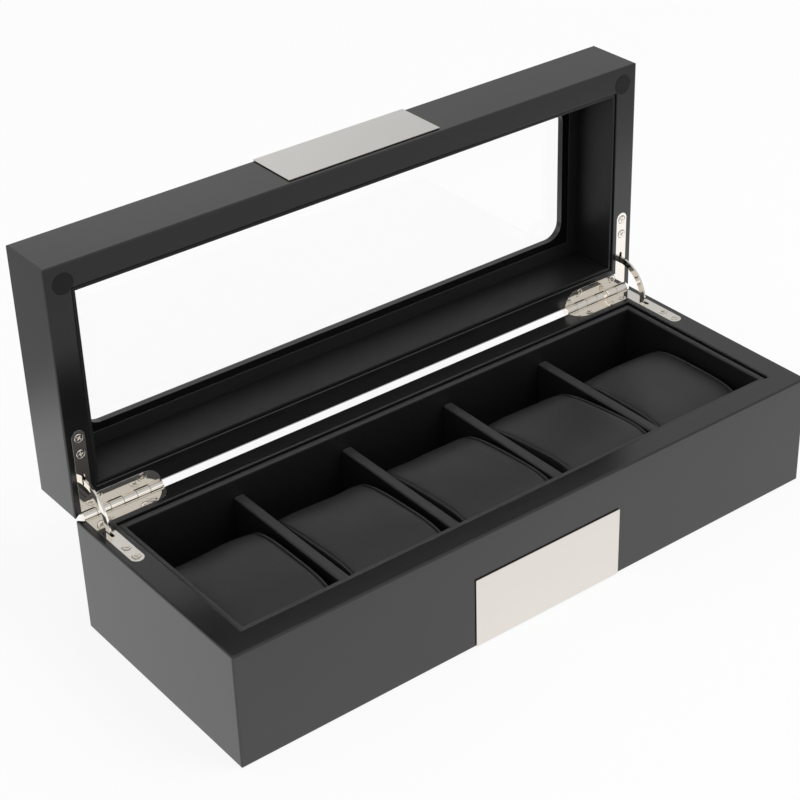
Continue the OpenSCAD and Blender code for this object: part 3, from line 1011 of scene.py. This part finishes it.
def pillowBlank(number, low, high):
    # an oval roll drawn from end to end in rings
    middle = (low + high) / 2
    halfY = (high.y - low.y) / 2
    halfZ = (high.z - low.z) / 2
    profile = pillowProfile()
    rings = [(-place, deep) for place, deep in reversed(profile)] + profile[1:]
    bpy.ops.object.select_all(action="DESELECT")
    bpy.ops.mesh.primitive_circle_add(vertices=pillowSet["sides"], radius=1, fill_type="NGON",
                                      rotation=(0, math.radians(90), 0))
    blank = bpy.context.object
    blank.name = f"pillow_cover_{number}"
    settle(blank)
    bpy.ops.object.mode_set(mode="EDIT")
    bpy.ops.mesh.select_all(action="SELECT")
    place, deep = rings[0]
    bpy.ops.transform.resize(value=(1, halfY - deep / 2, halfZ - deep))
    bpy.ops.transform.translate(value=(place, 0, 0))
    for (oldPlace, oldDeep), (place, deep) in zip(rings, rings[1:]):
        bpy.ops.mesh.extrude_region_move(
            TRANSFORM_OT_translate={"value": (place - oldPlace, 0, 0)})
        bpy.ops.transform.resize(value=(1, (halfY - deep / 2) / (halfY - oldDeep / 2),
                                        (halfZ - deep) / (halfZ - oldDeep)))
    bpy.ops.mesh.select_all(action="SELECT")
    bpy.ops.mesh.normals_make_consistent(inside=False)
    for width in pillowSet["capInsets"]:
        # the two end caps, whose middles lie on the roll's axis
        selectFaces(lambda centre, normal: abs(normal.x) > 0.999 and centre.yz.length < 1 * mm)
        bpy.ops.mesh.inset(thickness=width, use_individual=True)
    bpy.ops.object.mode_set(mode="OBJECT")
    power = pillowSet["power"]
    for vertex in blank.data.vertices:
        # pushes the oval out towards its corners
        y, z = vertex.co.y / halfY, vertex.co.z / halfZ
        reach = math.hypot(y, z)
        if reach > 1e-6:
            out = (abs(y / reach) ** power + abs(z / reach) ** power) ** (-1 / power)
            vertex.co.y *= out
            vertex.co.z *= out
    blank.location = middle
    settle(blank)
    return blank


def fillPillow(cover, middle):
    # the cover swells as air is pressed into it, with its seams held
    before = [v.co.copy() for v in cover.data.vertices]
    start = pillowSet["halfWide"] - pillowSet["lip"] - 0.5 * mm
    seam = cover.vertex_groups.new(name="seam")
    halfZ = max(v.z for v in before) - middle.z
    held = [i for i, v in enumerate(before)
            if abs(v.x - middle.x) > start and math.hypot(v.y - middle.y, v.z - middle.z) > halfZ * 0.6]
    seam.add(held, 1.0, "REPLACE")
    cloth = cover.modifiers.new("Cloth", "CLOTH")
    cloth.settings.use_pressure = True
    cloth.settings.uniform_pressure_force = pillowSet["pressure"]
    cloth.settings.effector_weights.gravity = 0
    cloth.settings.vertex_group_mass = "seam"
    cloth.settings.quality = 5
    scene = bpy.context.scene
    for number in range(1, pillowSet["frames"] + 1):
        scene.frame_set(number)
    graph = bpy.context.evaluated_depsgraph_get()
    after = [v.co.copy() for v in cover.evaluated_get(graph).data.vertices]
    scene.frame_set(1)
    cover.modifiers.remove(cloth)
    for vertex, old, new in zip(cover.data.vertices, before, after):
        # only what swells outward is kept, up to what the leatherette would give
        off = old - middle
        if abs(off.x) > start:
            outward, most = Vector((math.copysign(1, off.x), 0, 0)), pillowSet["bulge"]
        else:
            outward, most = Vector((0, off.y * 0.3, off.z)).normalized(), pillowSet["rise"]
        vertex.co = old + outward * min(max((new - old).dot(outward), 0), most)


def puckerPillow(cover, middle, number):
    # small puckers run in from the stitches, and the filling lies a little uneven
    start = pillowSet["halfWide"] - pillowSet["lip"]
    slumpX, slumpY = pillowSet["slumpScale"]
    puckerX, puckerY, puckerZ = pillowSet["puckerScale"]
    for vertex in cover.data.vertices:
        off = vertex.co - middle
        inside = start - abs(off.x)
        if inside <= 0:
            continue
        rise = pillowSet["slump"] * min(1, inside / pillowSet["slumpFade"]) * noise.noise(
            Vector((off.x * slumpX, off.y * slumpY, 3.7 * number)))
        if inside < pillowSet["puckerReach"]:
            share = (1 - inside / pillowSet["puckerReach"]) ** 2
            share *= min(1, inside / pillowSet["puckerFade"])
            rise += pillowSet["pucker"] * share * noise.noise(
                Vector((off.x * puckerX, off.y * puckerY, off.z * puckerZ + 17 * number)))
        vertex.co.z += rise if off.z > 0 else 0
        vertex.co.y += rise * min(1, abs(off.y) / pillowSet["cornerFade"]) * (1 if off.y > 0 else -1)


def fitPillow(cover, middle, low, high, number, bayHalf):
    # brings the filled cover to the height of its pad, and sets it askew in its bay
    halfWide, aside, turn = pillowFit[number]
    lows = [min(v.co[i] for v in cover.data.vertices) for i in range(3)]
    highs = [max(v.co[i] for v in cover.data.vertices) for i in range(3)]
    slim = halfWide * mm / pillowSet["halfWide"]
    slope = math.sin(math.radians(turn))
    room = bayHalf - pillowSet["bayAir"]
    for vertex in cover.data.vertices:
        y = (vertex.co.y - lows[1]) / (highs[1] - lows[1]) * (high.y - low.y) + low.y
        z = (vertex.co.z - lows[2]) / (highs[2] - lows[2]) * (high.z - low.z) + low.z
        up = min(max((z - low.z) / (high.z - low.z), 0), 1)
        x = (vertex.co.x - middle.x) * slim + aside * mm - (y - middle.y) * slope * up * up
        vertex.co = (middle.x + min(max(x, -room), room), y, z)


def addPillow(number, bayHalf):
    node = f"pillow_{number}"
    low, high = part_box(node)
    middle = (low + high) / 2
    cover = pillowBlank(number, low, high)
    fillPillow(cover, middle)
    applyModifier(cover, "SUBSURF", levels=2, render_levels=2)
    puckerPillow(cover, middle, number)
    fitPillow(cover, middle, low, high, number, bayHalf)
    pickOnly(cover)
    bpy.ops.object.shade_smooth()
    put(cover, node, "pillow_leatherette", pillowSkin, node)
    print("pillow", number, "filled", len(cover.data.polygons), "faces")


bayHalf = (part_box("divider_2")[0][0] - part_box("divider_1")[1][0]) / 2
for number in range(1, 6):
    addPillow(number, bayHalf)


print("all pieces placed")
